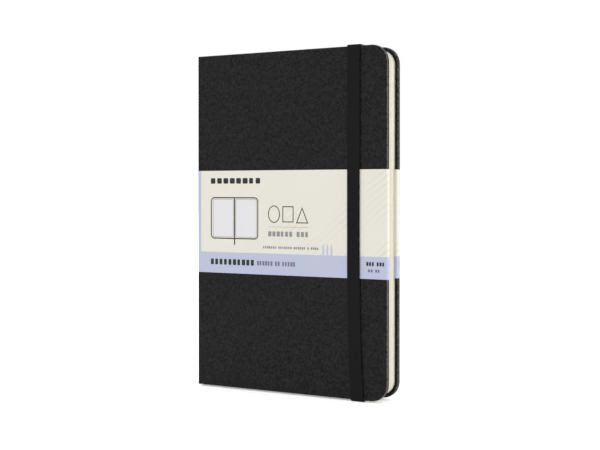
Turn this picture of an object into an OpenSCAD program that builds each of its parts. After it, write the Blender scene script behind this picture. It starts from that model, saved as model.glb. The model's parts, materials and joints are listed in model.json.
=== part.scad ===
// Hard-cover sketchbook with rounded fore-edge corners, an elastic closure, a back pocket and a paper
// belly band. It stands on its tail edge: X runs from the spine to the fore-edge, the front cover
// faces -Y, and Z runs from tail to head. Depth inside the book is measured as a level, which is 0 at
// the back cover's outer face and book_t at the front cover's outer face.

/* [Book] */
// Width of a cover, from the spine's outer face to the fore-edge
cover_w = 115; // [105:1:130]
// Height of a cover
cover_h = 180; // [170:1:210]
// Thickness of the closed book over both covers
book_t = 15; // [14.6:0.2:18]
// Radius of the covers' two fore-edge corners
corner_r = 9; // [6:0.5:12]

/* [Covers] */
// Thickness of the covering material
skin_t = 0.35; // [0.3:0.05:0.5]
// Thickness of a cover's greyboard
board_t = 1.8; // [1.4:0.1:2.2]
// Width of the covering that is turned in over a board's edge
turn_in = 12; // [10:1:16]
// Thickness of the endpaper glued down inside a cover
pastedown_t = 0.2; // [0.15:0.05:0.25]
// Thickness of the card strip that lines the spine
spine_liner_t = 0.45; // [0.3:0.05:0.6]

/* [Pages] */
// Distance that the pages stay inside the covers at the fore-edge
page_inset = 1.7; // [1.5:0.1:3]
// Distance that the pages stay inside the covers at head and tail
page_margin = 2.1; // [2:0.1:3.5]
// Radius of the pages' two fore-edge corners
page_r = 7.5; // [5:0.5:9]
// Thickness of the two free endpapers
flyleaf_t = 0.14; // [0.1:0.02:0.16]

/* [Elastic closure] */
// Width of the elastic
elastic_w = 7.2; // [6:0.2:8]
// Thickness of the elastic
elastic_t = 0.7; // [0.5:0.05:0.8]
// Distance of the elastic's centre line from the spine's outer face
elastic_x = 96.2; // [90:0.2:100]
// Distance of the slits in the back cover from its head and tail edges
slit_in = 7; // [5:0.5:9]

/* [Belly band] */
// Height of the paper band
band_h = 55.4; // [40:0.2:60]
// Height of the band's lower edge above the covers' tail edge
band_z = 61.8; // [55:0.2:70]
// Thickness of the band's paper
band_t = 0.12; // [0.1:0.01:0.15]
// Length of the flaps that are tucked inside the covers
flap_l = 66; // [40:1:80]

/* [Hidden] */
$fn = 48;

cover_t = skin_t + board_t + skin_t + pastedown_t;
front_board_level = book_t - skin_t - board_t;
edge_gap = 0.05;                        // from a cover's head or tail edge to the elastic
stand_z = elastic_t + edge_gap;         // the elastic passes under the tail edge
hinge_gap = 1.05;                       // from the spine's outer face to a cover's board
joint_x = 0.4;                          // the covering of a cover ends here, where it bends
window_r = 2;                           // corner radius of the window between the turned-in margins
paste_x = 1.65;                         // from the spine's outer face to a pastedown
paste_margin = 1.8;                     // from a cover's edges to its pastedown
pad_gap = 0.05;                         // air round the pastedown's dip
page_x = 1.3;                           // from the spine's outer face to the pages' folds
slip = 0.03;                            // air between neighbouring sheets
fit = 0.01;                             // air between glued faces

spine_side = 0.05;
liner_side = 0.4;
liner_inset = 1;
gauze_t = 0.12;
gauze_side = cover_t + 0.5;
gauze_inset = 8;

// levels, from the back cover's outer face towards the front
gusset_level = cover_t + fit;
gusset_t = 0.6;
panel_level = gusset_level + gusset_t + slip;
panel_t = 0.35;
back_flap_level = panel_level + panel_t + slip;
rear_flyleaf_level = back_flap_level + band_t + slip;
rear_half_level = rear_flyleaf_level + flyleaf_t + slip;
front_flap_level = book_t - cover_t - slip - band_t;
front_flyleaf_level = front_flap_level - slip - flyleaf_t;
front_half_top = front_flyleaf_level - slip;
middle_gap = 0.25;                      // room for the ribbon at the middle opening
half_t = (front_half_top - rear_half_level - middle_gap) / 2;
front_half_level = rear_half_level + half_t + middle_gap;
whole_sections = 5;                     // on each side of the middle section
section_pitch = half_t / (whole_sections + 1 / 2);
section_t = section_pitch - slip;
middle_level = rear_half_level + half_t + middle_gap / 2;

page_w = cover_w - page_x - page_inset;
page_h = cover_h - 2 * page_margin;

ribbon_w = 6;
ribbon_t = 0.14;
ribbon_in = 3;                          // from the pages' fold and head to the ribbon
ribbon_straight = 20;
ribbon_slant = 13;
ribbon_foot = 12;
thread_r = 0.18;
fold_relief = 0.7;                      // bevel inside the middle fold, where the thread lies
stitch_l = 16;
stitch_z = [14, 48, 82, 116, 150];

panel_x = 14;                           // the pocket's mouth, on the spine side
panel_end_x = cover_w - 3.2;            // the pocket's closed side, at the fore-edge
panel_h = 170;
panel_r = 6;
gusset_w = 11;
gusset_end_gap = 1;
cloth_w = 10;
cloth_inset = 18;

slit_w = elastic_w + 0.4;
slit_h = 1.1;
tab_l = 15;
tab_t = 0.32;
strap_gap = band_t + 0.05;              // the strap clears the band's paper
strap_reach = strap_gap + elastic_t;
bend_clear = 2.1;                       // the band's paper is open here, along both spine corners
tuck_gap = 0.02;                        // air between the covers' fore-edges and the band

black = [0.10, 0.10, 0.10];
cloth_black = [0.16, 0.16, 0.16];
gauze_buff = [0.80, 0.78, 0.70];
thread_white = [0.95, 0.95, 0.92];
pocket_buff = [0.90, 0.88, 0.78];
ivory = [0.93, 0.91, 0.82];
card_grey = [0.62, 0.60, 0.56];
band_cream = [0.91, 0.90, 0.86];

// Holds children that are drawn with x and z from the spine and the tail edge in the book's frame.
module in_book() {
    translate([-cover_w / 2, book_t / 2, stand_z]) children();
}

// A flat sheet, from one level to another, of the outline that is its child.
module sheet_at(level, thickness) {
    translate([0, -level, 0]) rotate([90, 0, 0]) linear_extrude(thickness) children();
}

// A block, from corner [x, z] of size [w, h], between two levels.
module block_at(x, z, w, h, level, thickness) {
    translate([x, -level - thickness, z]) cube([w, thickness, h]);
}

// A rectangle whose two corners on the right are round.
module rounded_side(w, h, r) {
    square([w - r, h]);
    translate([0, r]) square([w, h - 2 * r]);
    for (z = [r, h - r]) translate([w - r, z]) circle(r);
}

module cover_outline(inset) {
    translate([hinge_gap, inset])
        rounded_side(cover_w - hinge_gap - inset, cover_h - 2 * inset, corner_r - inset);
}

module page_outline() {
    translate([page_x, page_margin]) rounded_side(page_w, page_h, page_r);
}

// The hollow in a covering that a board or a pastedown fills. It is open on the spine side.
module hollow_outline(inset, r) {
    translate([0, inset]) rounded_side(cover_w - inset, cover_h - 2 * inset, r);
}

// The covering of one cover: outer face, three wrapped edges, the turned-in margin and the joint strip.
module cover_skin(board_level, window_level, strip_level) {
    difference() {
        sheet_at(board_level - skin_t, board_t + 2 * skin_t) cover_outline(0);
        sheet_at(board_level, board_t) hollow_outline(skin_t, corner_r - skin_t);
        sheet_at(window_level, 2 * skin_t) hollow_outline(turn_in, window_r);
    }
    block_at(joint_x, 0, hinge_gap - joint_x, cover_h, strip_level, skin_t);
}

module board_at(level) {
    sheet_at(level, board_t) cover_outline(skin_t + fit);
}

// An endpaper glued down inside a cover. It dips into the window between the turned-in margins.
module pastedown_at(face_level, pad_level) {
    sheet_at(face_level, pastedown_t) translate([paste_x, paste_margin])
        rounded_side(cover_w - paste_x - paste_margin, cover_h - 2 * paste_margin, corner_r - paste_margin);
    sheet_at(pad_level, skin_t) translate([paste_x, turn_in + pad_gap])
        rounded_side(cover_w - turn_in - pad_gap - paste_x, cover_h - 2 * (turn_in + pad_gap), window_r);
}

// Slits and glue recesses for the elastic's two ends in the back cover.
module elastic_slits() {
    for (z = [slit_in, cover_h - slit_in - slit_h])
        block_at(elastic_x - slit_w / 2, z, slit_w, slit_h, -skin_t, cover_t);
}

module tab_recess() {
    for (z = [slit_in, cover_h - slit_in - tab_l - slit_h])
        block_at(elastic_x - slit_w / 2, z, slit_w, tab_l + slit_h, cover_t - pastedown_t - skin_t, skin_t);
}

module front_board() {
    color(card_grey) in_book() board_at(front_board_level);
}

module front_cover_skin() {
    color(black) in_book() cover_skin(front_board_level, front_board_level - 2 * skin_t, book_t - skin_t);
}

module front_pastedown() {
    color(ivory) in_book() pastedown_at(book_t - cover_t, book_t - cover_t + pastedown_t);
}

module front_flyleaf() {
    color(ivory) in_book() sheet_at(front_flyleaf_level, flyleaf_t) page_outline();
}

module back_board() {
    color(card_grey) in_book() difference() {
        board_at(skin_t);
        elastic_slits();
    }
}

module back_cover_skin() {
    color(black) in_book() difference() {
        cover_skin(skin_t, skin_t + board_t, 0);
        elastic_slits();
        tab_recess();
    }
}

module back_pastedown() {
    color(ivory) in_book() difference() {
        pastedown_at(cover_t - pastedown_t, cover_t - pastedown_t - skin_t);
        tab_recess();
    }
}

module rear_flyleaf() {
    color(ivory) in_book() sheet_at(rear_flyleaf_level, flyleaf_t) page_outline();
}

// One layer of the spine, as long as the book less an inset at each end, between two side gaps.
module spine_layer(x, t, side, inset) {
    block_at(x, inset, t, cover_h - 2 * inset, side, book_t - 2 * side);
}

module spine_skin() {
    color(black) in_book() spine_layer(0, skin_t, spine_side, 0);
}

module spine_liner() {
    color(card_grey) in_book() spine_layer(skin_t, spine_liner_t, liner_side, liner_inset);
}

module spine_gauze() {
    color(gauze_buff) in_book()
        spine_layer(skin_t + spine_liner_t + slip, gauze_t, gauze_side, gauze_inset);
}

// A folded section of four leaves. count is the number of section pitches from its half's outer side.
module rear_section(count) {
    color(ivory) in_book() sheet_at(rear_half_level + count * section_pitch, section_t) page_outline();
}

module front_section(count) {
    color(ivory) in_book()
        sheet_at(front_half_top - count * section_pitch - section_t, section_t) page_outline();
}

// Half of the middle section, bevelled inside its fold so that the thread has room.
module middle_leaves(level, fold_level) {
    color(ivory) in_book() difference() {
        sheet_at(level, section_pitch / 2 - slip / 2) page_outline();
        translate([page_x, -fold_level, 0]) rotate([0, 0, 45])
            cube([fold_relief, fold_relief, 3 * cover_h], center = true);
    }
}

module section_06_rear() {
    middle_leaves(rear_half_level + whole_sections * section_pitch, middle_level);
}

module section_06_front() {
    middle_leaves(front_half_level, middle_level);
}

// Stitches of linen thread inside the middle fold.
module sewing_thread() {
    color(thread_white) in_book()
        for (z = stitch_z) translate([page_x, -middle_level, z]) cylinder(h = stitch_l, r = thread_r);
}

// The ribbon, stored inside the middle opening: down beside the fold and slanting towards the corner.
module ribbon_marker() {
    near = page_x + ribbon_in;
    far = near + ribbon_slant;
    top = cover_h - page_margin - ribbon_in;
    foot = page_margin + ribbon_foot;
    color(black) in_book() sheet_at(middle_level - ribbon_t / 2, ribbon_t)
        polygon([[near, top], [near + ribbon_w, top], [near + ribbon_w, top - ribbon_straight],
                 [far + ribbon_w, foot + ribbon_w], [far, foot], [near, top - ribbon_straight]]);
}

// The pocket: a card panel hinged at the fore-edge, with a cloth gusset at head and tail.
module pocket_panel() {
    color(pocket_buff) in_book() sheet_at(panel_level, panel_t)
        translate([panel_x, (cover_h - panel_h) / 2]) rounded_side(panel_end_x - panel_x, panel_h, panel_r);
}

module pocket_gusset(z) {
    color(cloth_black) in_book()
        block_at(panel_x + gusset_end_gap, z, panel_end_x - panel_x - cloth_w - 3 * gusset_end_gap, gusset_w,
                 gusset_level, gusset_t);
}

module pocket_gusset_head() {
    pocket_gusset((cover_h + panel_h) / 2 - gusset_w);
}

module pocket_gusset_tail() {
    pocket_gusset((cover_h - panel_h) / 2);
}

module pocket_hinge_cloth() {
    color(cloth_black) in_book()
        block_at(panel_end_x - cloth_w - gusset_end_gap, cloth_inset, cloth_w, cover_h - 2 * cloth_inset,
                 gusset_level, gusset_t);
}

// The elastic closure: the strap over the front cover, its returns over head and tail, and its ends.
module elastic_strap() {
    color(black) in_book()
        block_at(elastic_x - elastic_w / 2, -stand_z, elastic_w, cover_h + 2 * stand_z,
                 book_t + strap_gap, elastic_t);
}

module elastic_return(z) {
    color(black) in_book()
        block_at(elastic_x - elastic_w / 2, z, elastic_w, elastic_t, -strap_reach,
                 book_t + strap_gap + strap_reach - fit);
}

module elastic_head_return() {
    elastic_return(cover_h + edge_gap);
}

module elastic_tail_return() {
    elastic_return(-stand_z);
}

// One end of the elastic: a stub on the back cover, a bend through the slit and a glued tab.
module elastic_anchor(edge, inward) {
    slit_z = edge + inward * (slit_in + slit_h / 2);
    stub_l = slit_in + slit_h / 2 + elastic_t / 2;
    color(black) in_book() {
        block_at(elastic_x - elastic_w / 2, min(edge, edge + inward * stub_l), elastic_w, stub_l,
                 -strap_reach, elastic_t);
        block_at(elastic_x - elastic_w / 2, slit_z - elastic_t / 2, elastic_w, elastic_t,
                 -strap_reach, strap_reach + cover_t - pastedown_t - fit);
        block_at(elastic_x - elastic_w / 2, min(slit_z, slit_z + inward * tab_l), elastic_w, tab_l,
                 cover_t - pastedown_t - fit - tab_t, tab_t);
    }
}

module elastic_anchor_head() {
    elastic_anchor(cover_h, -1);
}

module elastic_anchor_tail() {
    elastic_anchor(0, 1);
}

// The belly band: one strip of paper round both covers and the spine, tucked in at the fore-edges.
module band_panel(face_level, edge_level) {
    color(band_cream) in_book() {
        block_at(bend_clear, band_z, cover_w - bend_clear + tuck_gap, band_h, face_level, band_t);
        block_at(cover_w + tuck_gap, band_z, band_t, band_h, edge_level, fit + band_t + cover_t);
    }
}

module band_front_panel() {
    band_panel(book_t + fit, book_t - cover_t);
}

module band_back_panel() {
    band_panel(-fit - band_t, -fit - band_t);
}

module band_spine_panel() {
    color(band_cream) in_book()
        block_at(-fit - band_t, band_z, band_t, band_h, bend_clear, book_t - 2 * bend_clear);
}

module band_flap(level) {
    color(band_cream) in_book() block_at(cover_w - flap_l, band_z, flap_l - tuck_gap, band_h, level, band_t);
}

module band_front_flap() {
    band_flap(front_flap_level);
}

module band_back_flap() {
    band_flap(back_flap_level);
}

front_board();
front_cover_skin();
front_pastedown();
front_flyleaf();
back_board();
back_cover_skin();
back_pastedown();
rear_flyleaf();
spine_skin();
spine_liner();
spine_gauze();
front_section(0);  // section_01
front_section(1);  // section_02
front_section(2);  // section_03
front_section(3);  // section_04
front_section(4);  // section_05
section_06_front();
section_06_rear();
rear_section(4);  // section_07
rear_section(3);  // section_08
rear_section(2);  // section_09
rear_section(1);  // section_10
rear_section(0);  // section_11
sewing_thread();
ribbon_marker();
pocket_panel();
pocket_gusset_head();
pocket_gusset_tail();
pocket_hinge_cloth();
elastic_strap();
elastic_head_return();
elastic_tail_return();
elastic_anchor_head();
elastic_anchor_tail();
band_front_panel();
band_front_flap();
band_spine_panel();
band_back_panel();
band_back_flap();
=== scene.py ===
"""A hard-cover sketchbook with an elastic closure and a paper belly band, standing on its tail edge."""

import json
import math
import random

import bmesh
import bpy
from mathutils import Matrix, Vector


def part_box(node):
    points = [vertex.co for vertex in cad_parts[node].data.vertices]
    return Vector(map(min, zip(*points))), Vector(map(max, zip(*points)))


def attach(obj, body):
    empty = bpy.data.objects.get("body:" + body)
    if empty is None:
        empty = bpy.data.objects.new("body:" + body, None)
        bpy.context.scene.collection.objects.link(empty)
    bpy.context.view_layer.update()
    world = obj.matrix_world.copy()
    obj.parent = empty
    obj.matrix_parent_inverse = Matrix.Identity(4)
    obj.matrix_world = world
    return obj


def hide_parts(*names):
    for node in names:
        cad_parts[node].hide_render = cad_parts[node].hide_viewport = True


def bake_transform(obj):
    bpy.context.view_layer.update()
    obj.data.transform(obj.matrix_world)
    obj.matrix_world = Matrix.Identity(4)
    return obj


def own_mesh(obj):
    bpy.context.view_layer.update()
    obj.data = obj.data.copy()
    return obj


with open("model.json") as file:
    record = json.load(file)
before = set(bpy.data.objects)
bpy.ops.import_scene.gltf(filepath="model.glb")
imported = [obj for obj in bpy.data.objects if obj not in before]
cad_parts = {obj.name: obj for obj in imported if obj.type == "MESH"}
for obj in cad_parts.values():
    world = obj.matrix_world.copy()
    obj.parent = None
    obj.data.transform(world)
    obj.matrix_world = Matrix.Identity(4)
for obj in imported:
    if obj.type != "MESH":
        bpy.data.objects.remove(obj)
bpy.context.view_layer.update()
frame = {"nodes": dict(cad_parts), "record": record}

# --- Studio -----------------------------------------------------------------------------------------
# The book stands on a pale table in soft light from large panels. The table glows a little, so that
# the shadow under the book stays faint. The camera is to the right of the front cover, nearly level.
MM = 0.001
SENSOR = 36
LENS = 69.7
CAMERA_PLACE = Vector((312.3, -531.2, 107.2)) * MM
CAMERA_TURN = math.radians(30.244)
CAMERA_DIP = math.radians(-0.51)
CAMERA_SHIFT = -0.0401

camera_data = bpy.data.cameras.new("camera")
camera_data.lens = LENS
camera_data.sensor_width = SENSOR
camera_data.shift_y = CAMERA_SHIFT
camera_data.clip_start = 0.01
camera_data.clip_end = 50
camera = bpy.data.objects.new("camera", camera_data)
camera.location = CAMERA_PLACE
camera.rotation_euler = (math.radians(90) + CAMERA_DIP, 0, CAMERA_TURN)
bpy.context.scene.collection.objects.link(camera)
bpy.context.scene.camera = camera
bpy.context.scene.view_settings.view_transform = "Standard"

world = bpy.data.worlds.new("studio")
world.use_nodes = True
world.node_tree.nodes["Background"].inputs["Color"].default_value = (1.0, 1.0, 1.0, 1)
world.node_tree.nodes["Background"].inputs["Strength"].default_value = 1.02
bpy.context.scene.world = world


def panel_light(name, place, aim, width, power):
    """A large soft square light."""
    data = bpy.data.lights.new(name, "AREA")
    data.size = width
    data.energy = power
    light = bpy.data.objects.new(name, data)
    light.location = place
    light.rotation_euler = (Vector(aim) - Vector(place)).to_track_quat("-Z", "Y").to_euler()
    bpy.context.scene.collection.objects.link(light)


panel_light("top_panel", (0, -0.1, 1.6), (0, 0, 0), 2.4, 9)
panel_light("left_panel", (-1.2, -1.5, 0.9), (0, 0, 0.09), 0.8, 1.0)
panel_light("right_panel", (1.6, 0.2, 0.4), (0, 0, 0.09), 0.8, 7)


SHARP_ANGLE = math.radians(40)
FLAT_ANGLE = 0.01
FLAT_RATIO = 30


def make_object(name, bm):
    """Turns a bmesh into an object. Bends are smooth; corners and the rims of large flat faces are crisp."""
    for face in bm.faces:
        face.smooth = True
    for edge in bm.edges:
        if len(edge.link_faces) == 2:
            small, large = sorted(face.calc_area() for face in edge.link_faces)
            turn = edge.calc_face_angle(0)
            edge.smooth = turn < SHARP_ANGLE and (turn < FLAT_ANGLE or large < FLAT_RATIO * small)
    mesh = bpy.data.meshes.new(name)
    bm.to_mesh(mesh)
    bm.free()
    piece = bpy.data.objects.new(name, mesh)
    bpy.context.scene.collection.objects.link(piece)
    return piece


def add(tree, kind, inputs=None, **settings):
    """Adds a node. An input is a plain value, or the socket that feeds it."""
    node = tree.nodes.new(kind)
    for name, value in settings.items():
        setattr(node, name, value)
    for key, value in (inputs or {}).items():
        if isinstance(value, bpy.types.NodeSocket):
            tree.links.new(value, node.inputs[key])
        else:
            node.inputs[key].default_value = value
    return node


def mixed(tree, mask, first, second):
    """The colour first where the mask is 0, and second where it is 1."""
    return add(tree, "ShaderNodeMix", {0: mask, 6: first, 7: second}, data_type="RGBA").outputs[2]


def ramp(tree, value, start, end, falling=False):
    """Turns a value into a mask that goes from 0 at start to 1 at end, or from 1 to 0 if it is falling."""
    limits = {"Value": value, "From Min": start, "From Max": end}
    if falling:
        limits |= {"To Min": 1.0, "To Max": 0.0}
    return add(tree, "ShaderNodeMapRange", limits).outputs[0]


def calculate(tree, operation, *values):
    """The result of one sum on plain values or sockets."""
    return add(tree, "ShaderNodeMath", dict(enumerate(values)), operation=operation).outputs[0]


def noise(tree, place, scale, detail):
    """A noise texture node."""
    return add(tree, "ShaderNodeTexNoise", {"Vector": place, "Scale": scale, "Detail": detail})


def new_material(name, colour, roughness, specular=0.3):
    """A material and its node tree, with the plain constants set on the shader itself."""
    material = bpy.data.materials.new(name)
    material.use_nodes = True
    surface = material.node_tree.nodes["Principled BSDF"]
    surface.inputs["Base Color"].default_value = (*colour, 1)
    surface.inputs["Roughness"].default_value = roughness
    surface.inputs["Specular IOR Level"].default_value = specular
    return material, material.node_tree, surface


def finish_surface(tree, surface, colour, height, strength, depth):
    """Feeds a colour and a relief, which is depth metres deep, to the shader."""
    tree.links.new(colour, surface.inputs["Base Color"])
    bump = add(tree, "ShaderNodeBump", {"Height": height, "Strength": strength, "Distance": depth})
    tree.links.new(bump.outputs["Normal"], surface.inputs["Normal"])


TABLE_SIZE = 8.0
TABLE_GLOW = 0.28
floor_mesh = bmesh.new()
bmesh.ops.create_grid(floor_mesh, x_segments=1, y_segments=1, size=TABLE_SIZE / 2)
floor = make_object("floor", floor_mesh)
floor_material, floor_tree, floor_surface = new_material("floor_paint", (0.98, 0.98, 0.98), 0.9, 0.1)
floor_mask = add(floor_tree, "ShaderNodeTexNoise", {"Scale": 30.0, "Detail": 3.0}).outputs["Fac"]
floor_tone = mixed(floor_tree, floor_mask, (0.975, 0.975, 0.975, 1), (0.985, 0.985, 0.985, 1))
floor_tree.links.new(floor_tone, floor_surface.inputs["Base Color"])
floor_surface.inputs["Emission Color"].default_value = (1.0, 1.0, 1.0, 1)
floor_surface.inputs["Emission Strength"].default_value = TABLE_GLOW
floor.data.materials.append(floor_material)


def group_tree(name, inputs, outputs):
    """A new shader node group with float inputs and outputs, and its two end nodes."""
    tree = bpy.data.node_groups.new(name, "ShaderNodeTree")
    for label, value in inputs:
        socket = tree.interface.new_socket(label, in_out="INPUT", socket_type="NodeSocketFloat")
        socket.default_value = value
    for label in outputs:
        tree.interface.new_socket(label, in_out="OUTPUT", socket_type="NodeSocketFloat")
    return tree, tree.nodes.new("NodeGroupInput"), tree.nodes.new("NodeGroupOutput")


def use_group(tree, group, values):
    """Places a node group in a material with its own values."""
    return add(tree, "ShaderNodeGroup", values, node_tree=group)


# --- Boards -----------------------------------------------------------------------------------------
# Two covers of solid grey bookbinding board and a strip of card for the spine, cut square on the
# spine side. They are made of pulped paper, with darker specks. The covering is glued over them.


def speckle_group():
    """Fine specks and soft clouds, as in pulp. Speck is 0 or 1, Cloud and Height go from 0 to 1."""
    tree, start, end = group_tree("speckle", [("Scale", 900.0)], ["Speck", "Cloud", "Height"])
    place = add(tree, "ShaderNodeTexCoord").outputs["Object"]
    fine = noise(tree, place, start.outputs["Scale"], 4.0)
    broad = noise(tree, place, calculate(tree, "MULTIPLY", start.outputs["Scale"], 0.08), 3.0)
    tree.links.new(ramp(tree, fine.outputs["Fac"], 0.62, 0.70), end.inputs["Speck"])
    tree.links.new(broad.outputs["Fac"], end.inputs["Cloud"])
    tree.links.new(fine.outputs["Fac"], end.inputs["Height"])
    return tree


SPECKLE = speckle_group()
board_material, board_tree, board_surface = new_material("greyboard", (0.45, 0.43, 0.39), 0.9, 0.2)
board_specks = use_group(board_tree, SPECKLE, {"Scale": 1400.0})
board_cloud = mixed(board_tree, board_specks.outputs["Cloud"], (0.40, 0.38, 0.345, 1), (0.50, 0.48, 0.44, 1))
board_tone = mixed(board_tree, board_specks.outputs["Speck"], board_cloud, (0.22, 0.20, 0.18, 1))
finish_surface(board_tree, board_surface, board_tone, board_specks.outputs["Height"], 0.4, 0.0001)


def repaint(nodes, material):
    """Gives the CAD nodes that stay in view their material."""
    for name in nodes:
        frame["nodes"][name].data.materials.clear()
        frame["nodes"][name].data.materials.append(material)


repaint(["front_board", "back_board", "spine_liner"], board_material)

# --- Covering ---------------------------------------------------------------------------------------
# One sheet of black coated bookcloth with a fine pebble grain, glued round both boards and the spine.
# It is wrapped over the boards' edges and turned in by a margin, which the endpapers cover. It bends
# at the two joints, so it is made here in three leaves and two thin folds that lie on the joint axes.
SKIN = 0.30 * MM
OUTER_ROUND = 0.5 * MM
INNER_ROUND = 0.6 * MM
COVER_CORNER = 9.0 * MM
TURN_IN = 8.4 * MM
HINGE_GAP = 1.05 * MM
FOLD_RADIUS = 0.10 * MM
SPINE_ROUND = 0.10 * MM
TOUCH = 0.02 * MM

spine_low, spine_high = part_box("spine_skin")
front_low, front_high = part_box("front_cover_skin")
back_low, back_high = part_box("back_cover_skin")
spine_x = spine_low.x
fore_x = front_high.x
tail_z = front_low.z
head_z = front_high.z
front_y = front_low.y
back_y = back_high.y
board_x = spine_x + HINGE_GAP


def grain_group():
    """A pebble grain of small raised cells. Height is the relief, Tone a soft change from place to place."""
    tree, start, end = group_tree("pebble_grain", [("Scale", 1500.0)], ["Height", "Tone"])
    place = add(tree, "ShaderNodeTexCoord").outputs["Object"]
    wobble = noise(tree, place, 900.0, 2.0).outputs["Color"]
    shove = add(tree, "ShaderNodeVectorMath", {0: wobble, "Scale": 0.0005}, operation="SCALE")
    bent = add(tree, "ShaderNodeVectorMath", {0: place, 1: shove.outputs[0]}, operation="ADD")
    cells = add(
        tree,
        "ShaderNodeTexVoronoi",
        {"Vector": bent.outputs[0], "Scale": start.outputs["Scale"], "Smoothness": 0.6},
        feature="SMOOTH_F1",
    )
    raised = ramp(tree, cells.outputs["Distance"], 0.0, 0.75, falling=True)
    broad = noise(tree, place, 850.0, 2.0).outputs["Fac"]
    tree.links.new(calculate(tree, "ADD", raised, broad), end.inputs["Height"])
    tree.links.new(ramp(tree, broad, 0.3, 0.7), end.inputs["Tone"])
    return tree


GRAIN = grain_group()
COVER_BLACK = (0.005, 0.005, 0.005)
cover_material, cover_tree, cover_surface = new_material("black_covering", COVER_BLACK, 0.55, 0.145)
cover_grain = use_group(cover_tree, GRAIN, {"Scale": 1500.0})
cover_mask = cover_grain.outputs["Tone"]
cover_tone = mixed(cover_tree, cover_mask, (0.0002, 0.0002, 0.0002, 1), (0.0118, 0.0113, 0.0116, 1))
# The wrapped edges are painted lighter: part wear, part painted highlight where the edges catch the light.
cover_rim = add(cover_tree, "ShaderNodeAttribute", attribute_name="rim")
cover_wear_and_highlight = calculate(cover_tree, "MULTIPLY", cover_rim.outputs["Fac"], cover_mask)
cover_edge = mixed(cover_tree, cover_wear_and_highlight, cover_tone, (0.086, 0.077, 0.073, 1))
finish_surface(cover_tree, cover_surface, cover_edge, cover_grain.outputs["Height"], 0.55, 0.00012)


def soften(bm, geom, radius, steps, affect="EDGES"):
    """Rounds the given edges, or the given corners of flat faces."""
    bmesh.ops.bevel(
        bm,
        geom=geom,
        offset=radius,
        offset_type="OFFSET",
        affect=affect,
        segments=steps,
        profile=0.5,
        material=-1,
    )


def leaf_face(bm, left, right, low, high, y, radius, steps=10):
    """A flat face over X and Z whose two corners on the right are round."""
    corners = [(left, low), (right, low), (right, high), (left, high)]
    verts = [bm.verts.new((x, y, z)) for x, z in corners]
    bm.faces.new(verts)
    soften(bm, verts[1:3], radius, steps, "VERTICES")


def sharp_edges(bm, angle=1.0):
    """Edges where two faces meet at more than the angle, in radians."""
    return [e for e in bm.edges if len(e.link_faces) == 2 and e.calc_face_angle(0) > angle]


def thicken(bm, thickness, centred=False):
    """Gives a sheet its thickness: inwards from its faces, or half to each side if it is centred."""
    bm.normal_update()
    if centred:
        for vert in bm.verts:
            vert.co += vert.normal * (thickness / 2 * vert.calc_shell_factor())
    bmesh.ops.solidify(bm, geom=bm.faces[:], thickness=thickness)
    return bm


def face_outwards(bm, point_y):
    """Turns the sheet's faces so that the face furthest towards point_y looks that way."""
    bmesh.ops.recalc_face_normals(bm, faces=bm.faces)
    outer = max(bm.faces, key=lambda f: f.calc_area())
    if outer.normal.y * point_y < 0:
        bmesh.ops.reverse_faces(bm, faces=bm.faces)


def paint_edge_wear_and_highlight(bm, outer_y, inner_y, outer_wear_and_highlight, inner_wear_and_highlight):
    """Marks a cover's three wrapped edges lighter, as wear and painted highlight, from the outer face to the
    inner. Below 0 is none.
    """
    rim = bm.verts.layers.float.new("rim")
    for vert in bm.verts:
        share = (vert.co.y - outer_y) / (inner_y - outer_y)
        if 0.01 < share < 0.99:
            vert[rim] = outer_wear_and_highlight + (inner_wear_and_highlight - outer_wear_and_highlight) * share


def cover_wrap(name, body, node, outer_y, inner_y, edge_wear_and_highlight):
    """One cover's leaf of the covering, as a thin sheet that is open on the spine side."""
    bm = bmesh.new()
    leaf_face(bm, board_x, fore_x, tail_z, head_z, outer_y, COVER_CORNER, 14)
    made = bmesh.ops.extrude_face_region(bm, geom=bm.faces[:])
    moved = [v for v in made["geom"] if isinstance(v, bmesh.types.BMVert)]
    bmesh.ops.translate(bm, verts=moved, vec=(0, inner_y - outer_y, 0))
    inner = [f for f in bm.faces if all(abs(v.co.y - inner_y) < TOUCH for v in f.verts)]
    ring = bmesh.ops.inset_region(bm, faces=inner, thickness=TURN_IN, use_even_offset=True)["faces"]
    open_side = [
        f
        for f in bm.faces
        if sum(abs(v.co.x - board_x) < TOUCH and abs(v.co.y - inner_y) < TOUCH for v in f.verts) == 2
        and (f in ring or all(abs(v.co.x - board_x) < TOUCH for v in f.verts))
    ]
    bmesh.ops.delete(bm, geom=inner + open_side, context="FACES")
    outer_edges = [e for e in sharp_edges(bm) if all(abs(v.co.y - outer_y) < TOUCH for v in e.verts)]
    soften(bm, outer_edges, OUTER_ROUND, 5)
    inner_edges = [e for e in sharp_edges(bm, 1.2) if all(abs(v.co.y - inner_y) < TOUCH for v in e.verts)]
    soften(bm, inner_edges, INNER_ROUND, 5)
    paint_edge_wear_and_highlight(bm, outer_y, inner_y, *edge_wear_and_highlight)
    lip_reach = OUTER_ROUND + TOUCH
    lip = [
        e
        for e in bm.edges
        if len(e.link_faces) == 1
        and all(abs(v.co.x - board_x) < TOUCH and abs(v.co.y - outer_y) < lip_reach for v in e.verts)
    ]
    made = bmesh.ops.extrude_edge_only(bm, edges=lip)
    moved = [v for v in made["geom"] if isinstance(v, bmesh.types.BMVert)]
    bmesh.ops.translate(bm, verts=moved, vec=(spine_x + TOUCH - board_x, 0, 0))
    face_outwards(bm, outer_y)
    piece = make_object(name, thicken(bm, SKIN))
    piece.data.materials.append(cover_material)
    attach(piece, body)
    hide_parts(node)


# Front cover: wear and a narrow painted highlight on the outer rounding, darker inwards. Back cover: its
# edge painted lighter, as if lit.
cover_wrap("front_covering", "front_cover", "front_cover_skin", front_y, front_high.y, (2.6, -2.8))
cover_wrap("back_covering", "back_cover", "back_cover_skin", back_y, back_low.y, (0.7, 0.9))


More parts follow.
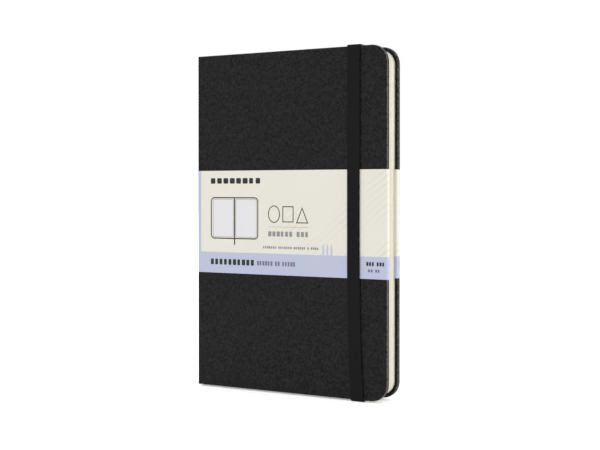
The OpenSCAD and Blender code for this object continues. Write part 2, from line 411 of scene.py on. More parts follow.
spine_mesh = bmesh.new()
bmesh.ops.create_cube(spine_mesh, size=1)
bmesh.ops.scale(spine_mesh, verts=spine_mesh.verts, vec=spine_high - spine_low)
bmesh.ops.translate(spine_mesh, verts=spine_mesh.verts, vec=(spine_low + spine_high) / 2)
bmesh.ops.recalc_face_normals(spine_mesh, faces=spine_mesh.faces)
soften(spine_mesh, sharp_edges(spine_mesh), SPINE_ROUND, 3)
spine_piece = make_object("spine_covering", spine_mesh)
spine_piece.data.materials.append(cover_material)
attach(spine_piece, "spine")
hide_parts("spine_skin")


def corner_rod(radius, length, y, middle_z):
    """A thin upright rod on a joint's axis, which stands for a tight fold."""
    bm = bmesh.new()
    bmesh.ops.create_cone(bm, cap_ends=True, segments=16, radius1=radius, radius2=radius, depth=length)
    bmesh.ops.translate(bm, verts=bm.verts, vec=(spine_x, y, middle_z))
    return bm


for side, joint_y in (("front", front_y), ("rear", back_y)):
    fold_mesh = corner_rod(FOLD_RADIUS, head_z - tail_z - OUTER_ROUND, joint_y, (head_z + tail_z) / 2)
    fold = make_object(side + "_joint_fold", fold_mesh)
    fold.data.materials.append(cover_material)
    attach(fold, "spine")

# --- Endpapers --------------------------------------------------------------------------------------
# Four sheets of smooth ivory paper. Two are pasted down inside the covers, over the turned-in margin,
# whose edge shows through as a faint step. Two are free leaves. A strip of each lines its joint.
PASTE_CORNER = 7.8 * MM
PASTE_SHEET = 0.15 * MM
MARGIN_STEP = 0.12 * MM
STEP_WIDTH = 0.6 * MM
COVERED_MARGIN = 12.0 * MM


def paper_group():
    """Paper: Height is its tooth, Tone a soft change of colour, Fibre fine pale hairs."""
    tree, start, end = group_tree("paper", [("Scale", 2600.0)], ["Height", "Tone", "Fibre"])
    place = add(tree, "ShaderNodeTexCoord").outputs["Object"]
    tooth = noise(tree, place, start.outputs["Scale"], 3.0)
    broad = noise(tree, place, 55.0, 4.0)
    drawn = add(tree, "ShaderNodeMapping", {"Vector": place, "Scale": (1.0, 1.0, 0.18)})
    hairs = noise(tree, drawn.outputs[0], 3200.0, 2.0)
    tree.links.new(tooth.outputs["Fac"], end.inputs["Height"])
    tree.links.new(broad.outputs["Fac"], end.inputs["Tone"])
    tree.links.new(ramp(tree, hairs.outputs["Fac"], 0.60, 0.72), end.inputs["Fibre"])
    return tree


PAPER = paper_group()


def paper_material(name, light, dark, fibre, tooth):
    """A paper with two close tones, fine hairs and a tooth of the given depth in metres."""
    material, tree, surface = new_material(name, light, 0.88, 0.2)
    paper = use_group(tree, PAPER, {"Scale": 2600.0})
    tone = mixed(tree, paper.outputs["Tone"], (*light, 1), (*dark, 1))
    hairs = mixed(tree, paper.outputs["Fibre"], tone, (*fibre, 1))
    finish_surface(tree, surface, hairs, paper.outputs["Height"], 0.35, tooth)
    return material


endpaper = paper_material(
    "endpaper",
    (0.684, 0.650, 0.539),
    (0.650, 0.616, 0.504),
    (0.718, 0.684, 0.581),
    0.00004,
)


def pastedown(name, body, node, inward):
    """An endpaper glued inside a cover. inward is 1 if the board lies towards +Y."""
    low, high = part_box(node)
    face_y = low.y if inward > 0 else high.y
    bm = bmesh.new()
    leaf_face(bm, low.x, high.x, low.z, high.z, face_y, PASTE_CORNER)
    margins = [(high.x, -1, 0), (low.z, 1, 2), (high.z, -1, 2)]
    for edge, sign, axis in margins:
        for extra in (0, STEP_WIDTH):
            point = Vector((0, 0, 0))
            point[axis] = edge + sign * (COVERED_MARGIN + extra)
            normal = Vector((0, 0, 0))
            normal[axis] = 1
            everything = bm.verts[:] + bm.edges[:] + bm.faces[:]
            bmesh.ops.bisect_plane(bm, geom=everything, plane_co=point, plane_no=normal)
    inset = COVERED_MARGIN + STEP_WIDTH - TOUCH
    sunk = [
        v for v in bm.verts if v.co.x < high.x - inset and low.z + inset < v.co.z < high.z - inset
    ]
    bmesh.ops.translate(bm, verts=sunk, vec=(0, inward * MARGIN_STEP, 0))
    face_outwards(bm, -inward)
    piece = make_object(name, thicken(bm, PASTE_SHEET))
    piece.data.materials.append(endpaper)
    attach(piece, body)
    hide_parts(node)


pastedown("front_pasted_endpaper", "front_cover", "front_pastedown", -1)
pastedown("rear_pasted_endpaper", "back_cover", "back_pastedown", 1)
repaint(["front_flyleaf", "rear_flyleaf"], endpaper)


def folded_strip(points, along, radius, steps=5, columns=1):
    """A strip that follows points, drawn out by the vector along, with every fold rounded."""
    bm = bmesh.new()
    verts = [bm.verts.new(p) for p in points]
    edges = [bm.edges.new(pair) for pair in zip(verts, verts[1:])]
    for _ in range(columns):
        made = bmesh.ops.extrude_edge_only(bm, edges=edges)["geom"]
        edges = [g for g in made if isinstance(g, bmesh.types.BMEdge) and not is_along(g, along)]
        moved = [g for g in made if isinstance(g, bmesh.types.BMVert)]
        bmesh.ops.translate(bm, verts=moved, vec=Vector(along) / columns)
    folds = [e for e in bm.edges if is_along(e, along) and len(e.link_faces) == 2]
    if folds and radius:
        soften(bm, folds, radius, steps)
    return bm


def is_along(edge, direction):
    """True if the edge runs along the direction."""
    run = (edge.verts[1].co - edge.verts[0].co).normalized()
    return abs(run.dot(Vector(direction).normalized())) > 0.999


JOINT_PAPER = 0.03 * MM
JOINT_STEPS = 10
JOINT_CLEAR = 0.06 * MM
JOINT_DEPTH = 0.55 * MM
JOINT_ENDS = 3.0 * MM
LEAF_LAP = 1.2 * MM
COVER_LAP = 1.5 * MM
PASTE_DEPTH = 0.12 * MM
flyleaf_low, flyleaf_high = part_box("front_flyleaf")
rear_flyleaf_low, rear_flyleaf_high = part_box("rear_flyleaf")
liner_inner_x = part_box("spine_liner")[1].x + JOINT_CLEAR
joint_edge_x = board_x - JOINT_CLEAR


def joint_paper(name, outer_y, flyleaf_y, cover_y, leaf_side):
    """The strip of endpaper from a free leaf's fold, round the joint and onto the cover's inner face."""
    top_y = outer_y - leaf_side * JOINT_DEPTH
    profile = [(flyleaf_low.x + LEAF_LAP, flyleaf_y), (liner_inner_x, flyleaf_y)]
    for step in range(JOINT_STEPS + 1):
        profile.append((liner_inner_x + (joint_edge_x - liner_inner_x) * step / JOINT_STEPS, top_y))
    profile += [(joint_edge_x, cover_y), (board_x + COVER_LAP, cover_y)]
    points = [(x, y, tail_z + JOINT_ENDS) for x, y in profile]
    bm = folded_strip(points, (0, 0, head_z - tail_z - 2 * JOINT_ENDS), 0)
    return make_object(name, thicken(bm, JOINT_PAPER, True))


front_leaf_y = (flyleaf_low.y + flyleaf_high.y) / 2
front_joint = joint_paper("front_joint_paper", front_y, front_leaf_y, front_high.y + PASTE_DEPTH, -1)
front_joint.data.materials.append(endpaper)
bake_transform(front_joint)
rear_leaf_y = (rear_flyleaf_low.y + rear_flyleaf_high.y) / 2
rear_joint = joint_paper("rear_joint_paper", back_y, rear_leaf_y, back_low.y - PASTE_DEPTH, 1)
rear_joint.data.materials.append(endpaper)
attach(rear_joint, "back_cover")

# --- Sections of pages ------------------------------------------------------------------------------
# Eleven sections of ivory drawing paper, each of two sheets folded together into four leaves. After
# sewing, the block was trimmed, so the leaves' edges are flush to a hair. Section six is the middle
# one: its front and rear leaves open away from each other, with the sewing thread in the fold.
LEAF_CORNER = 7.5 * MM
LEAF_AIR = 0.02 * MM
TRIM_WANDER = 0.10 * MM
FOLD_STEPS = 6
MIDDLE_CURL = 0.34 * MM
CURL_ANGLE = math.pi / 2.2
SHADE_SPREAD = 0.55
trim = random.Random(11)
page_material, page_tree, page_surface = new_material("drawing_paper", (0.701, 0.675, 0.564), 0.9, 0.2)
page_paper = use_group(page_tree, PAPER, {"Scale": 2200.0})
page_tone = mixed(page_tree, page_paper.outputs["Tone"], (0.685, 0.662, 0.562, 1), (0.651, 0.625, 0.519, 1))
page_shade = add(page_tree, "ShaderNodeAttribute", attribute_name="shade")
page_leaf = mixed(page_tree, page_shade.outputs["Fac"], page_tone, (0.564, 0.530, 0.419, 1))
page_hairs = mixed(page_tree, page_paper.outputs["Fibre"], page_leaf, (0.735, 0.710, 0.607, 1))
finish_surface(page_tree, page_surface, page_hairs, page_paper.outputs["Height"], 0.45, 0.00006)


def set_shade(piece, value):
    """One leaf is a little darker than the next, where the trimming knife has pressed it."""
    attribute = piece.data.attributes.new("shade", "FLOAT", "POINT")
    attribute.data.foreach_set("value", [value] * len(piece.data.vertices))


def trimmed_leaf(bm, fold_x, low, high, y):
    """One leaf, whose three trimmed edges wander by less than a tenth of a millimetre."""
    right = high.x - trim.uniform(0, TRIM_WANDER)
    bottom = low.z + trim.uniform(0, TRIM_WANDER)
    top = high.z - trim.uniform(0, TRIM_WANDER)
    before = set(bm.edges)
    leaf_face(bm, fold_x, right, bottom, top, y, LEAF_CORNER, 8)
    return [e for e in bm.edges if e not in before and all(abs(v.co.x - fold_x) < TOUCH for v in e.verts)]


def sweep(bm, geom, centre, angle, steps, climb=(0, 0, 0)):
    """Draws the geometry round an upright axis, and up by climb at each step."""
    bmesh.ops.spin(
        bm,
        geom=geom,
        axis=(0, 0, 1),
        cent=centre,
        dvec=climb,
        angle=angle,
        steps=steps,
        use_merge=False,
        use_duplicate=False,
    )


def folded_sheet(low, high, depth, pitch):
    """A sheet folded into two leaves: depth is its place from the outside of the section, from 0."""
    bm = bmesh.new()
    near = low.y + (depth + 0.5) * pitch
    far = high.y - (depth + 0.5) * pitch
    radius = (far - near) / 2
    fold_x = low.x + (high.y - low.y) / 2
    edge = trimmed_leaf(bm, fold_x, low, high, near)
    trimmed_leaf(bm, fold_x, low, high, far)
    sweep(bm, edge + list(edge[0].verts), (fold_x, (near + far) / 2, 0), -math.pi, FOLD_STEPS)
    bmesh.ops.remove_doubles(bm, verts=bm.verts, dist=radius / 50)
    return bm


def half_sheet(low, high, y, curl_towards):
    """One leaf of the middle section, which curls away into the gutter at its fold."""
    bm = bmesh.new()
    edge = trimmed_leaf(bm, low.x + MIDDLE_CURL, low, high, y)
    centre = (low.x + MIDDLE_CURL, y + curl_towards * MIDDLE_CURL, 0)
    sweep(bm, edge + list(edge[0].verts), centre, curl_towards * -CURL_ANGLE, FOLD_STEPS)
    return bm


def section(node, body, sheets):
    """Makes a section's sheets, each with its own tone, and hides the CAD node."""
    for count, bm in enumerate(sheets):
        bmesh.ops.recalc_face_normals(bm, faces=bm.faces)
        piece = make_object(f"{node}_sheet_{count + 1}", thicken(bm, leaf_thickness, True))
        set_shade(piece, trim.uniform(0, SHADE_SPREAD))
        piece.data.materials.append(page_material)
        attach(piece, body)
    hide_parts(node)


whole_low, whole_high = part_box("section_01")
leaf_pitch = (whole_high.y - whole_low.y) / 4
leaf_thickness = leaf_pitch - LEAF_AIR
body_of_node = {n: body for body, members in frame["record"]["behaviour"]["bodies"].items() for n in members}
for number in (1, 2, 3, 4, 5, 7, 8, 9, 10, 11):
    node_name = f"section_{number:02d}"
    section_low, section_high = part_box(node_name)
    section(
        node_name,
        body_of_node[node_name],
        [folded_sheet(section_low, section_high, depth, leaf_pitch) for depth in (0, 1)],
    )
for node_name, curl in (("section_06_front", -1), ("section_06_rear", 1)):
    half_low, half_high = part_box(node_name)
    places = [half_low.y + (half_high.y - half_low.y) * share for share in (0.25, 0.75)]
    section(
        node_name,
        body_of_node[node_name],
        [half_sheet(half_low, half_high, y, curl) for y in places],
    )

# --- Sewing thread ----------------------------------------------------------------------------------
# Waxed two-ply linen thread. It shows as five long stitches in the middle fold, and holds the
# sections on the spine side.
PLY = 0.10 * MM
TWISTS_PER_MM = 0.55
TWIST_STEPS = 72
PLY_SIDES = 6
STITCH_FEET = [14, 48, 82, 116, 150]
STITCH_LENGTH = 16 * MM
thread_low, thread_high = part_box("sewing_thread")
thread_x = (thread_low.x + thread_high.x) / 2
thread_y = (thread_low.y + thread_high.y) / 2
thread_material, thread_tree, thread_surface = new_material("linen_thread", (0.74, 0.71, 0.62), 0.7, 0.3)
thread_specks = use_group(thread_tree, SPECKLE, {"Scale": 5200.0})
thread_fuzz = thread_specks.outputs["Height"]
thread_tone = mixed(thread_tree, thread_fuzz, (0.62, 0.59, 0.50, 1), (0.82, 0.80, 0.72, 1))
finish_surface(thread_tree, thread_surface, thread_tone, thread_fuzz, 0.5, 0.00003)
thread_mesh = bmesh.new()
for foot in STITCH_FEET:
    foot_z = tail_z + foot * MM
    for ply in (0, 1):
        shift = PLY if ply else -PLY
        ring = bmesh.ops.create_circle(
            thread_mesh,
            segments=PLY_SIDES,
            radius=PLY,
            matrix=Matrix.Translation((thread_x + shift, thread_y, foot_z)),
        )["verts"]
        sweep(
            thread_mesh,
            ring + list({e for v in ring for e in v.link_edges}),
            (thread_x, thread_y, 0),
            2 * math.pi * TWISTS_PER_MM * STITCH_LENGTH / MM,
            TWIST_STEPS,
            (0, 0, STITCH_LENGTH / TWIST_STEPS),
        )
bmesh.ops.holes_fill(thread_mesh, edges=[e for e in thread_mesh.edges if e.is_boundary], sides=PLY_SIDES)
bmesh.ops.recalc_face_normals(thread_mesh, faces=thread_mesh.faces)
thread = make_object("sewing_stitches", thread_mesh)
thread.data.materials.append(thread_material)
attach(thread, body_of_node["sewing_thread"])
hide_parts("sewing_thread")

# --- Gauze ------------------------------------------------------------------------------------------
# A strip of open-weave cotton, stiff with glue. It is glued to the inner side of the spine's liner,
# over its whole width, and stiffens the spine.


def weave_group():
    """A plain weave of threads along Z and across it. Height is its relief, Gap the dark holes."""
    inputs = [("Threads across", 800.0), ("Threads along", 800.0)]
    tree, start, end = group_tree("weave", inputs, ["Height", "Gap"])
    place = add(tree, "ShaderNodeTexCoord").outputs["Object"]
    axes = add(tree, "ShaderNodeSeparateXYZ", {0: place})
    around = calculate(tree, "ADD", axes.outputs["X"], axes.outputs["Y"])
    waves = []
    for label, source in (("Threads across", around), ("Threads along", axes.outputs["Z"])):
        turns = calculate(tree, "MULTIPLY", start.outputs[label], math.pi)
        wave = calculate(tree, "SINE", calculate(tree, "MULTIPLY", source, turns))
        waves.append(calculate(tree, "ABSOLUTE", wave))
    height = calculate(tree, "MAXIMUM", *waves)
    product = calculate(tree, "MULTIPLY", *waves)
    tree.links.new(calculate(tree, "ADD", height, product), end.inputs["Height"])
    tree.links.new(ramp(tree, height, 0.25, 0.55, falling=True), end.inputs["Gap"])
    return tree


WEAVE = weave_group()


def cloth_material(name, light, dark, threads, relief, roughness=0.9):
    """A woven cloth: its threads are light and the holes between them dark."""
    material, tree, surface = new_material(name, light, roughness, 0.2)
    weave = use_group(tree, WEAVE, {"Threads across": threads[0], "Threads along": threads[1]})
    tone = mixed(tree, weave.outputs["Gap"], (*light, 1), (*dark, 1))
    finish_surface(tree, surface, tone, weave.outputs["Height"], 0.6, relief)
    return material


gauze_material = cloth_material("gauze", (0.66, 0.62, 0.50), (0.30, 0.27, 0.20), (900.0, 900.0), 0.00008)
repaint(["spine_gauze"], gauze_material)

# --- Ribbon marker ----------------------------------------------------------------------------------
# A narrow black satin ribbon. It leaves the gutter at the head and lies on the page down to the tail,
# where it is cut on the slant.
ribbon_low, ribbon_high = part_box("ribbon_marker")
RIBBON_WIDTH = 6.0 * MM
RIBBON_THICKNESS = 0.12 * MM
RIBBON_SLANT = 13.0 * MM
RIBBON_ROWS = 48
RIBBON_COLUMNS = 8
ribbon_y = (ribbon_low.y + ribbon_high.y) / 2
ribbon_mesh = bmesh.new()
start_edge = []
for column in range(RIBBON_COLUMNS + 1):
    start_x = ribbon_low.x + RIBBON_WIDTH * column / RIBBON_COLUMNS
    start_edge.append(ribbon_mesh.verts.new((start_x, ribbon_y, ribbon_high.z)))
ribbon_front = [ribbon_mesh.edges.new(pair) for pair in zip(start_edge, start_edge[1:])]
ribbon_drop = (ribbon_high.z - ribbon_low.z - RIBBON_WIDTH) / RIBBON_ROWS
for row in range(RIBBON_ROWS):
    made = bmesh.ops.extrude_edge_only(ribbon_mesh, edges=ribbon_front)["geom"]
    moved = [g for g in made if isinstance(g, bmesh.types.BMVert)]
    ribbon_front = [
        g for g in made if isinstance(g, bmesh.types.BMEdge) and all(v in moved for v in g.verts)
    ]
    sway = RIBBON_SLANT * math.sin(math.pi * (row + 0.5) / RIBBON_ROWS) * math.pi / 2 / RIBBON_ROWS
    bmesh.ops.translate(ribbon_mesh, verts=moved, vec=(sway, 0, -ribbon_drop))
for vert in {v for e in ribbon_front for v in e.verts}:
    share = (vert.co.x - ribbon_low.x - RIBBON_SLANT) / RIBBON_WIDTH
    vert.co.z -= RIBBON_WIDTH * (1 - share)
ribbon = make_object("satin_ribbon", thicken(ribbon_mesh, RIBBON_THICKNESS, True))
ribbon_material = cloth_material(
    "satin_ribbon",
    (0.016, 0.016, 0.017),
    (0.006, 0.006, 0.006),
    (3800.0, 2600.0),
    0.00003,
    0.45,
)
ribbon.data.materials.append(ribbon_material)
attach(ribbon, body_of_node["ribbon_marker"])
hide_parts("ribbon_marker")

# --- Pocket -----------------------------------------------------------------------------------------
# Inside the back cover: a panel of ivory card, held along the fore-edge by a strip of black cloth,
# and at head and tail by folded gussets of the same cloth. Its mouth is towards the spine.
pocket_cloth = cloth_material(
    "pocket_cloth",
    (0.035, 0.034, 0.034),
    (0.010, 0.010, 0.010),
    (1500.0, 1500.0),
    0.00008,
)
pocket_card = paper_material(
    "pocket_card",
    (0.667, 0.624, 0.504),
    (0.633, 0.590, 0.470),
    (0.701, 0.667, 0.556),
    0.00005,
)
repaint(["pocket_panel"], pocket_card)
repaint(["pocket_hinge_cloth"], pocket_cloth)
GUSSET_CLOTH = 0.14 * MM
GUSSET_FOLD = 0.07 * MM
for end in ("head", "tail"):
    gusset_low, gusset_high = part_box("pocket_gusset_" + end)
    cloth_low = gusset_low.y + GUSSET_CLOTH / 2
    cloth_high = gusset_high.y - GUSSET_CLOTH / 2
    levels = [cloth_low, (cloth_low + cloth_high) / 2, cloth_high]
    open_z, fold_z = (gusset_low.z, gusset_high.z) if end == "head" else (gusset_high.z, gusset_low.z)
    zigzag = [
        (gusset_low.x, levels[0], open_z),
        (gusset_low.x, levels[0], fold_z),
        (gusset_low.x, levels[1], fold_z),
        (gusset_low.x, levels[1], open_z),
        (gusset_low.x, levels[2], open_z),
        (gusset_low.x, levels[2], fold_z),
    ]
    gusset_mesh = folded_strip(zigzag, (gusset_high.x - gusset_low.x, 0, 0), GUSSET_FOLD, 3)
    gusset = make_object("pocket_folded_gusset_" + end, thicken(gusset_mesh, GUSSET_CLOTH, True))
    gusset.data.materials.append(pocket_cloth)
    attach(gusset, "back_cover")
    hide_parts("pocket_gusset_" + end)

# --- Elastic closure --------------------------------------------------------------------------------
# One band of black woven elastic with fine lengthwise ribs. It lies over the front cover, turns over
# head and tail, and goes through two slits in the back cover, where its ends are glued inside.
# Released, the strap lies on the back cover.
ELASTIC = 0.62 * MM
RIBS = 14
RIB_HEIGHT = 0.05 * MM
ELASTIC_TURN = 1.1 * MM
TURN_REACH = 2.2 * MM
STUB_SUNK = 0.1 * MM
STUB_THICKNESS = 0.42 * MM
DRIFT = 2.2 * MM
DRIFT_FROM = 95 * MM
DRIFT_BEND = 3.3
DRIFT_CUTS = (80, 66, 54, 43, 33, 24, 16, 9, 4)
strap_low, strap_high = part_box("elastic_strap")
strap_width = strap_high.x - strap_low.x
anchor_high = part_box("elastic_anchor_head")[1]
ELASTIC_BLACK = (0.003, 0.003, 0.0032)
rib_rate = 2 * RIBS / strap_width
elastic_material, elastic_tree, elastic_surface = new_material("black_elastic", ELASTIC_BLACK, 0.72, 0.14)
elastic_knit = use_group(elastic_tree, WEAVE, {"Threads across": rib_rate, "Threads along": 1250.0})
elastic_gap = elastic_knit.outputs["Gap"]
elastic_tone = mixed(elastic_tree, elastic_gap, (0.0038, 0.0038, 0.0041, 1), (0.0009, 0.0009, 0.0009, 1))
finish_surface(elastic_tree, elastic_surface, elastic_tone, elastic_knit.outputs["Height"], 0.6, 0.00007)


def drift(place):
    """How far the strap leans to the fore-edge. It grows towards the tail, and ends at the back cover."""
    down = max(0.0, (DRIFT_FROM - (place.z - tail_z)) / DRIFT_FROM)
    forward = min(1.0, (back_y - place.y) / (back_y - front_y))
    return DRIFT * min(1.0, down) ** DRIFT_BEND * max(0.0, forward)


def elastic_piece(name, points, thickness=ELASTIC, inset=0.0):
    """A length of ribbed elastic. points are on its outer side, in Y and Z."""
    left = strap_low.x + inset
    width = strap_width - 2 * inset
    path = [(left, y, z) for y, z in points]
    bm = folded_strip(path, (width, 0, 0), ELASTIC_TURN if len(points) > 2 else 0, 6, 2 * RIBS)
    bmesh.ops.recalc_face_normals(bm, faces=bm.faces)
    middle = Vector((0, 0, (head_z + tail_z) / 2))
    outer = max(bm.faces, key=lambda f: (f.calc_center_median() - middle).length)
    if outer.normal.dot(outer.calc_center_median() - middle) < 0:
        bmesh.ops.reverse_faces(bm, faces=bm.faces)
    bm.normal_update()
    for vert in bm.verts:
        column = round((vert.co.x - left) / (width / (2 * RIBS)))
        sink = RIB_HEIGHT if column % 2 == 0 else 0
        if column in (0, 2 * RIBS):
            sink = 3 * RIB_HEIGHT
        vert.co -= vert.normal * sink
    for cut_z in DRIFT_CUTS:
        everything = bm.verts[:] + bm.edges[:] + bm.faces[:]
        bmesh.ops.bisect_plane(bm, geom=everything, plane_co=(0, 0, tail_z + cut_z * MM), plane_no=(0, 0, 1))
    for vert in bm.verts:
        vert.co.x += drift(vert.co)
    piece = make_object(name, thicken(bm, thickness))
    piece.data.materials.append(elastic_material)
    return piece


strap = elastic_piece(
    "elastic_band",
    [
        (strap_low.y + TURN_REACH, strap_high.z),
        (strap_low.y, strap_high.z),
        (strap_low.y, strap_low.z),
        (strap_low.y + TURN_REACH, strap_low.z),
    ],
)
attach(strap, "elastic_loop")
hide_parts("elastic_strap")
back_reach = anchor_high.y - TURN_REACH
for end, outer_z in (("head", strap_high.z), ("tail", strap_low.z)):
    turn = elastic_piece("elastic_turn_" + end, [(strap_low.y + TURN_REACH, outer_z), (back_reach, outer_z)])
    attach(turn, "back_cover")
    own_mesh(turn)
    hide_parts(f"elastic_{end}_return")
SLIT_DEPTH = 1.2 * MM
SLIT_IN = 7.9 * MM
stub_y = anchor_high.y - STUB_SUNK
inside_y = stub_y - SLIT_DEPTH - ELASTIC
for end, outer_z, slit_z in (
    ("head", strap_high.z - STUB_SUNK, head_z - SLIT_IN),
    ("tail", strap_low.z + STUB_SUNK, tail_z + SLIT_IN),
):
    stub = elastic_piece(
        "elastic_end_" + end,
        [(back_reach, outer_z), (stub_y, outer_z), (stub_y, slit_z), (inside_y, slit_z)],
        STUB_THICKNESS,
        STUB_SUNK,
    )
    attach(stub, "back_cover")
    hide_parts("elastic_anchor_" + end)

# --- Belly band -------------------------------------------------------------------------------------
# A strip of uncoated ivory paper round the closed book, with fine slanting strokes printed tone on
# tone and a lilac stripe along its lower edge and down the spine. Its ends wrap over the fore-edges
# of both covers and are tucked inside. It is creased at the spine's two corners.
BAND_PAPER = 0.10 * MM
BAND_BEND = 0.62 * MM
CREASE_RADIUS = 0.125 * MM
CORNER_GAP = 0.14 * MM
STRIPE_HEIGHT = 11.3 * MM
SPINE_STRIPE = 1.75 * MM
STROKE_SLANT = math.radians(38)
STROKES_FROM = 35 * MM
STROKES_TO = 85 * MM
band_low, band_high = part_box("band_front_panel")
band_back_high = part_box("band_back_panel")[1]
front_flap_low, front_flap_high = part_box("band_front_flap")
back_flap_low, back_flap_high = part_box("band_back_flap")
paper_half = (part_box("band_spine_panel")[1].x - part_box("band_spine_panel")[0].x) / 2
band_front_y = band_low.y + paper_half
band_back_y = band_back_high.y - paper_half
band_spine_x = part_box("band_spine_panel")[0].x + paper_half
band_fore_x = band_high.x - paper_half
band_height = band_high.z - band_low.z

band_material, band_tree, band_surface = new_material("band_paper", (0.684, 0.675, 0.598), 0.82, 0.25)
band_place = add(band_tree, "ShaderNodeTexCoord").outputs["Object"]
band_axes = add(band_tree, "ShaderNodeSeparateXYZ", {0: band_place})
band_paper = use_group(band_tree, PAPER, {"Scale": 2600.0})
band_slant = add(band_tree, "ShaderNodeMapping", {"Vector": band_place, "Rotation": (0, STROKE_SLANT, 0)})
strokes = add(
    band_tree,
    "ShaderNodeTexWave",
    {"Vector": band_slant.outputs[0], "Scale": 105.0, "Distortion": 3.0, "Detail": 2.0, "Detail Scale": 0.5},
    bands_direction="Z",
)
stroke_line = ramp(band_tree, strokes.outputs["Fac"], 0.55, 0.95)
stroke_patch = ramp(band_tree, noise(band_tree, band_place, 38.0, 1.0).outputs["Fac"], 0.45, 0.6)
stroke_mask = calculate(band_tree, "MULTIPLY", stroke_patch, stroke_line)
stroke_spread = ramp(band_tree, band_axes.outputs["X"], spine_x + STROKES_FROM, spine_x + STROKES_TO)
stroke_soft = calculate(band_tree, "MULTIPLY", stroke_mask, stroke_spread)
band_tone = band_paper.outputs["Tone"]
band_ground = mixed(band_tree, band_tone, (0.620, 0.607, 0.539, 1), (0.603, 0.590, 0.522, 1))
band_drawn = mixed(band_tree, stroke_soft, band_ground, (0.560, 0.547, 0.483, 1))
below = calculate(band_tree, "LESS_THAN", band_axes.outputs["Z"], band_low.z + STRIPE_HEIGHT)
beside = calculate(band_tree, "LESS_THAN", band_axes.outputs["X"], spine_x + SPINE_STRIPE)
inked = calculate(band_tree, "MAXIMUM", below, beside)
lilac = mixed(band_tree, band_tone, (0.402, 0.427, 0.551, 1), (0.389, 0.415, 0.534, 1))
band_colour = mixed(band_tree, inked, band_drawn, lilac)
finish_surface(band_tree, band_surface, band_colour, band_paper.outputs["Height"], 0.3, 0.00004)


def band_piece(name, body, nodes, points):
    """A length of the band, standing on its lower edge."""
    path = [(x, y, band_low.z) for x, y in points]
    bm = folded_strip(path, (0, 0, band_height), BAND_BEND if len(points) > 2 else 0, 6)
    bmesh.ops.recalc_face_normals(bm, faces=bm.faces)
    piece = make_object(name, thicken(bm, BAND_PAPER, True))
    piece.data.materials.append(band_material)
    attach(piece, body)
    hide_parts(*nodes)


band_piece(
    "band_front",
    "front_cover",
    ["band_front_panel", "band_front_flap"],
    [
        (spine_x + CORNER_GAP, band_front_y),
        (band_fore_x, band_front_y),
        (band_fore_x, (front_flap_low.y + front_flap_high.y) / 2),
        (front_flap_low.x, (front_flap_low.y + front_flap_high.y) / 2),
    ],
)
band_piece(
    "band_back",
    "back_cover",
    ["band_back_panel", "band_back_flap"],
    [
        (spine_x + CORNER_GAP, band_back_y),
        (band_fore_x, band_back_y),
        (band_fore_x, (back_flap_low.y + back_flap_high.y) / 2),
        (back_flap_low.x, (back_flap_low.y + back_flap_high.y) / 2),
    ],
)
band_piece(
    "band_spine",
    "spine",
    ["band_spine_panel"],
    [(band_spine_x, front_y), (band_spine_x, back_y)],
)
for side, joint_y in (("front", front_y), ("rear", back_y)):
    crease_mesh = corner_rod(CREASE_RADIUS, band_height, joint_y, (band_low.z + band_high.z) / 2)
    crease = make_object(f"band_{side}_crease", crease_mesh)
    crease.data.materials.append(band_material)
    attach(crease, "spine")

# --- Print on the band ------------------------------------------------------------------------------
# Flat ink on the front of the band: plain blocks where such a band carries its wording, outlines of an
# open book, a circle, a square and a triangle, and three small pencils. Sizes are in millimetres from
# the book's spine and tail edge.
INK = 0.012 * MM
block_sizes = random.Random(5)
ink_y = band_low.y - 0.002 * MM


def ink_material(name, colour):
    """Flat printing ink, slightly uneven where the paper's tooth takes less of it."""
    material, tree, surface = new_material(name, colour, 0.7, 0.25)
    paper = use_group(tree, PAPER, {"Scale": 2600.0})
    pale = tuple(0.9 * c + 0.04 for c in colour)
    tone = mixed(tree, paper.outputs["Fibre"], (*colour, 1), (*pale, 1))
    finish_surface(tree, surface, tone, paper.outputs["Height"], 0.2, 0.00003)
    return material


def ink_patch(bm, centre, size, corner, steps):
    """A flat rectangle with round corners."""
    made = bmesh.ops.create_grid(bm, x_segments=1, y_segments=1, size=0.5)["verts"]
    bmesh.ops.scale(bm, verts=made, vec=(*size, 1))
    bmesh.ops.translate(bm, verts=made, vec=(*centre, 0))
    soften(bm, made, corner, steps, "VERTICES")


def ink_bar(bm, left, low, width, height, corner=0.35):
    """A bar with rounded corners. corner is their size as a share of its narrow side."""
    centre = (left + width / 2, low + height / 2)
    ink_patch(bm, centre, (width, height), corner * min(width, height), 3)


def ink_words(bm, left, right, low, height, words):
    """A line of plain blocks where wording would be. words has the number of blocks in each word."""
    pitch = (right - left) / (sum(words) + 0.7 * (len(words) - 1) - 0.3)
    for blocks in words:
        for _ in range(blocks):
            ink_bar(bm, left, low, pitch * block_sizes.uniform(0.6, 0.8), height, 0.2)
            left += pitch
        left += 0.7 * pitch


def ink_outline(bm, sides, centre, radius, stroke, turn, stretch):
    """A closed outline of a regular shape: 3 sides, 4 sides, or many for a circle."""
    made = bmesh.ops.create_circle(bm, cap_ends=True, segments=sides, radius=radius)["verts"]
    face = made[0].link_faces[0]
    bmesh.ops.rotate(bm, verts=made, cent=(0, 0, 0), matrix=Matrix.Rotation(turn, 3, "Z"))
    bmesh.ops.scale(bm, verts=made, vec=(*stretch, 1))
    bmesh.ops.translate(bm, verts=made, vec=(*centre, 0))
    bmesh.ops.inset_region(bm, faces=[face], thickness=stroke, use_boundary=True, use_even_offset=True)
    bmesh.ops.delete(bm, geom=[face], context="FACES_ONLY")


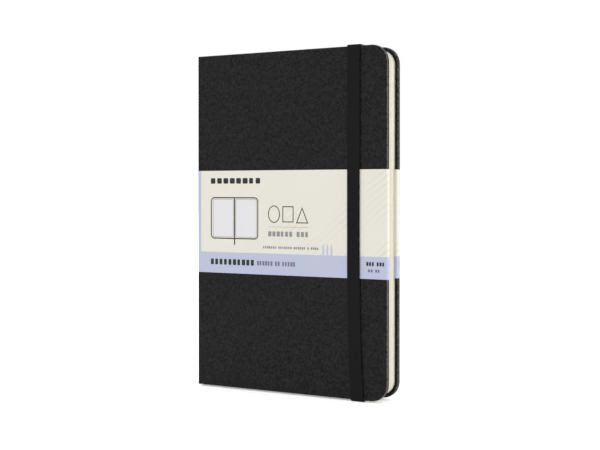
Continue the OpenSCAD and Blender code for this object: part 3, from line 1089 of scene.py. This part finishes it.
def ink_rounded_frame(bm, centre, size, corner, stroke):
    """The outline of a rectangle with round corners."""
    ink_patch(bm, centre, size, corner, 6)
    face = max(bm.faces, key=lambda f: len(f.verts) * (abs(f.calc_center_median().x - centre[0]) < 0.01))
    bmesh.ops.inset_region(bm, faces=[face], thickness=stroke, use_boundary=True, use_even_offset=True)
    bmesh.ops.delete(bm, geom=[face], context="FACES_ONLY")


def print_piece(name, bm, material):
    """Places flat ink, drawn in millimetres, on the front of the band."""
    upright = Matrix.Rotation(math.pi / 2, 4, "X") @ Matrix.Scale(MM, 4)
    place = Matrix.Translation((spine_x, ink_y, tail_z)) @ upright
    bmesh.ops.transform(bm, matrix=place, verts=bm.verts)
    bmesh.ops.recalc_face_normals(bm, faces=bm.faces)
    for face in [f for f in bm.faces if f.normal.y > 0]:
        face.normal_flip()
    piece = make_object(name, thicken(bm, INK, True))
    piece.data.materials.append(material)
    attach(piece, "front_cover")


dark_ink = ink_material("dark_ink", (0.02, 0.02, 0.022))
grey_ink = ink_material("grey_ink", (0.222, 0.222, 0.231))
page_ink = ink_material("page_ink", (0.598, 0.598, 0.607))
lilac_ink = ink_material("lilac_ink", (0.402, 0.427, 0.551))
stripe_ink = ink_material("stripe_ink", (0.137, 0.145, 0.239))

dark = bmesh.new()
ink_words(dark, 8.2, 40.0, 110.2, 3.0, (8,))
BOOK_CENTRE = (23.5, 91.6)
ink_rounded_frame(dark, BOOK_CENTRE, (30.6, 22.6), 2.4, 0.6)
ink_bar(dark, 23.3, 77.2, 0.75, 25.6)
ink_outline(dark, 40, (48.6, 94.0), 4.6, 0.5, 0, (0.8, 1.0))
ink_outline(dark, 4, (57.2, 94.0), 6.0, 0.5, math.radians(45), (0.8, 1.0))
ink_outline(dark, 3, (65.8, 92.2), 5.2, 0.5, 0, (0.82, 1.1))
print_piece("band_print_dark", dark, dark_ink)

pages = bmesh.new()
for side in (-1, 1):
    ink_bar(pages, 23.7 + side * 7.35 - 6.3, 81.7, 12.6, 19.8, 0.1)
print_piece("band_print_pages", pages, page_ink)

grey = bmesh.new()
ink_bar(grey, 45.0, 87.15, 24.5, 0.16)
ink_words(grey, 45.0, 69.5, 82.2, 2.7, (6, 3))
ink_words(grey, 41.8, 75.5, 75.7, 1.3, (7, 7, 6, 1, 4))
for side in (-1, 1):
    ink_rounded_frame(grey, (23.7 + side * 7.35, 91.6), (13.4, 20.6), 1.4, 0.22)
print_piece("band_print_grey", grey, grey_ink)

pencils = bmesh.new()
for left in (77.9, 80.3, 82.7):
    ink_bar(pencils, left, 73.0, 1.1, 4.2)
    tip = bmesh.ops.create_circle(pencils, cap_ends=True, segments=3, radius=1.0)["verts"]
    bmesh.ops.scale(pencils, verts=tip, vec=(0.62, 1.1, 1))
    bmesh.ops.translate(pencils, verts=tip, vec=(left + 0.55, 77.9, 0))
print_piece("band_print_pencils", pencils, lilac_ink)

stripe = bmesh.new()
ink_words(stripe, 8.2, 36.1, 66.3, 3.1, (10,))
ink_words(stripe, 103.3, 113.4, 68.4, 2.0, (3, 3))
print_piece("band_print_stripe_bold", stripe, dark_ink)
stripe = bmesh.new()
ink_words(stripe, 38.0, 61.6, 66.6, 2.4, (6, 2, 5))
ink_words(stripe, 104.3, 110.8, 65.2, 1.5, (2, 2))
print_piece("band_print_stripe", stripe, stripe_ink)
